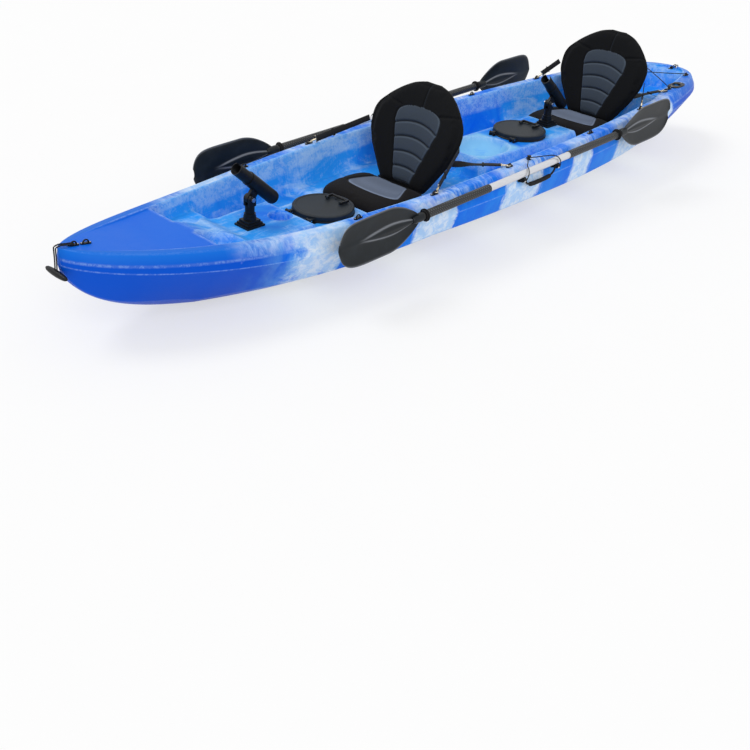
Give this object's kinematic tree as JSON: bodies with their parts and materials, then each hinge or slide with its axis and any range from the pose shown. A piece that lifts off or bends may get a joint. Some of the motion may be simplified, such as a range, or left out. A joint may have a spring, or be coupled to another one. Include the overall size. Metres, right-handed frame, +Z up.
{
  "type": "tandem kayak",
  "caption": "Sit-on-top tandem fishing kayak with folding padded seats, hinged round hatches, swivelling rod holders, carry handles, a tankwell and paddles on the gunwales.",
  "frame": {"origin": "on the floor under the middle of the hull, on the centreline", "axes": "+X to the bow, +Y to port, +Z up"},
  "size_m": [3.744, 0.8678, 0.5972],
  "materials": {
    "hull_plastic": "rotomoulded, marbled blue and white",
    "black_plastic": "moulded, satin",
    "seal_rubber": "soft",
    "steel": "bright",
    "seat_fabric": "quilted woven cover",
    "webbing": "woven",
    "brass": "plated",
    "shaft": "satin tube",
    "cord": "braided",
    "rubber": "matt"
  },
  "bodies": {
    "hull": {"moulded_hull": "hull_plastic", "scupper_plugs": "rubber", "front_hatch_ring": "black_plastic", "front_hatch_seal": "seal_rubber", "front_hatch_pins": "steel", "rear_hatch_ring": "black_plastic", "rear_hatch_seal": "seal_rubber", "rear_hatch_pins": "steel", "front_rod_base": "black_plastic", "rear_rod_base": "black_plastic", "port_flush_holder": "black_plastic", "starboard_flush_holder": "black_plastic", "front_seat_pad": "seat_fabric", "front_seat_straps": "webbing", "front_seat_hooks": "brass", "rear_seat_pad": "seat_fabric", "rear_seat_straps": "webbing", "rear_seat_hooks": "brass", "port_handle_saddles": "black_plastic", "port_paddle_keeper": "cord", "starboard_handle_saddles": "black_plastic", "starboard_paddle_keeper": "cord", "keeper_knobs": "black_plastic", "pad_eyes": "black_plastic", "tankwell_cord": "cord", "bow_tie_cord": "cord", "stern_tie_cord": "cord"},
    "front_lid": {"front_hatch_lid": "black_plastic"},
    "front_lid_handle": {"front_hatch_handle": "black_plastic"},
    "rear_lid": {"rear_hatch_lid": "black_plastic"},
    "rear_lid_handle": {"rear_hatch_handle": "black_plastic"},
    "front_rod_swivel_post": {"front_rod_post": "black_plastic", "front_rod_bolt": "steel"},
    "front_rod_cradle": {"front_rod_tube": "black_plastic"},
    "rear_rod_swivel_post": {"rear_rod_post": "black_plastic", "rear_rod_bolt": "steel"},
    "rear_rod_cradle": {"rear_rod_tube": "black_plastic"},
    "front_backrest": {"front_seat_back": "seat_fabric"},
    "rear_backrest": {"rear_seat_back": "seat_fabric"},
    "port_paddle": {"port_paddle_shaft": "shaft", "port_paddle_grips": "rubber", "port_drip_rings": "rubber", "port_fore_blade": "black_plastic", "port_aft_blade": "black_plastic"},
    "starboard_paddle": {"starboard_paddle_shaft": "shaft", "starboard_paddle_grips": "rubber", "starboard_drip_rings": "rubber", "starboard_fore_blade": "black_plastic", "starboard_aft_blade": "black_plastic"},
    "port_carry_handle": {"port_handle": "black_plastic"},
    "starboard_carry_handle": {"starboard_handle": "black_plastic"},
    "bow_grab": {"bow_cord": "cord", "bow_toggle": "black_plastic"},
    "stern_grab": {"stern_cord": "cord", "stern_toggle": "black_plastic"}
  },
  "joints": [
    {"name": "front_lid_hinge", "type": "hinge", "parent": "hull", "child": "front_lid", "pos_m": [0.866, 0, 0.1833], "axis": [0, 1, 0], "range_deg": [0, 88]},
    {"name": "front_lid_handle_lift", "type": "hinge", "parent": "front_lid", "child": "front_lid_handle", "pos_m": [0.684, 0, 0.2], "axis": [0, 1, 0], "range_deg": [0, 60]},
    {"name": "rear_lid_hinge", "type": "hinge", "parent": "hull", "child": "rear_lid", "pos_m": [-0.352, 0, 0.24293], "axis": [0, 1, 0], "range_deg": [0, 88]},
    {"name": "rear_lid_handle_lift", "type": "hinge", "parent": "rear_lid", "child": "rear_lid_handle", "pos_m": [-0.534, 0, 0.25963], "axis": [0, 1, 0], "range_deg": [0, 60]},
    {"name": "front_rod_swivel", "type": "hinge", "parent": "hull", "child": "front_rod_swivel_post", "pos_m": [1.1, 0, 0.24825], "axis": [0, 0, 1], "continuous": true},
    {"name": "front_rod_tilt", "type": "hinge", "parent": "front_rod_swivel_post", "child": "front_rod_cradle", "pos_m": [1.1, 0, 0.30855], "axis": [0, 1, 0], "range_deg": [-25, 30]},
    {"name": "rear_rod_swivel", "type": "hinge", "parent": "hull", "child": "rear_rod_swivel_post", "pos_m": [-0.686, 0, 0.26863], "axis": [0, 0, 1], "continuous": true},
    {"name": "rear_rod_tilt", "type": "hinge", "parent": "rear_rod_swivel_post", "child": "rear_rod_cradle", "pos_m": [-0.686, 0, 0.32893], "axis": [0, 1, 0], "range_deg": [-25, 30]},
    {"name": "front_backrest_fold", "type": "hinge", "parent": "hull", "child": "front_backrest", "pos_m": [0.307, 0, 0.21148], "axis": [0, 1, 0], "range_deg": [0, 30], "deforming": ["front_seat_straps"]},
    {"name": "rear_backrest_fold", "type": "hinge", "parent": "hull", "child": "rear_backrest", "pos_m": [-1.041, 0, 0.24427], "axis": [0, 1, 0], "range_deg": [0, 30], "deforming": ["rear_seat_straps"]},
    {"name": "port_paddle_lift", "type": "slide", "parent": "hull", "child": "port_paddle", "axis": [0, 0.5, 0.866], "range_m": [0, 0.1], "deforming": ["port_paddle_keeper"]},
    {"name": "port_handle_swing", "type": "hinge", "parent": "hull", "child": "port_carry_handle", "pos_m": [-0.062, 0.41368, 0.26585], "axis": [0.9993, 0, -0.0365], "range_deg": [0, 60]},
    {"name": "starboard_paddle_lift", "type": "slide", "parent": "hull", "child": "starboard_paddle", "axis": [0, -0.5, 0.866], "range_m": [0, 0.1], "deforming": ["starboard_paddle_keeper"]},
    {"name": "starboard_handle_swing", "type": "hinge", "parent": "hull", "child": "starboard_carry_handle", "pos_m": [-0.062, -0.41368, 0.26585], "axis": [-0.9993, 0, 0.0365], "range_deg": [0, 60]},
    {"name": "bow_grab_swing", "type": "hinge", "parent": "hull", "child": "bow_grab", "pos_m": [1.857, 0, 0.34], "axis": [0, -1, 0], "range_deg": [0, 80]},
    {"name": "stern_grab_swing", "type": "hinge", "parent": "hull", "child": "stern_grab", "pos_m": [-1.857, 0, 0.328], "axis": [0, 1, 0], "range_deg": [0, 80]}
  ]
}
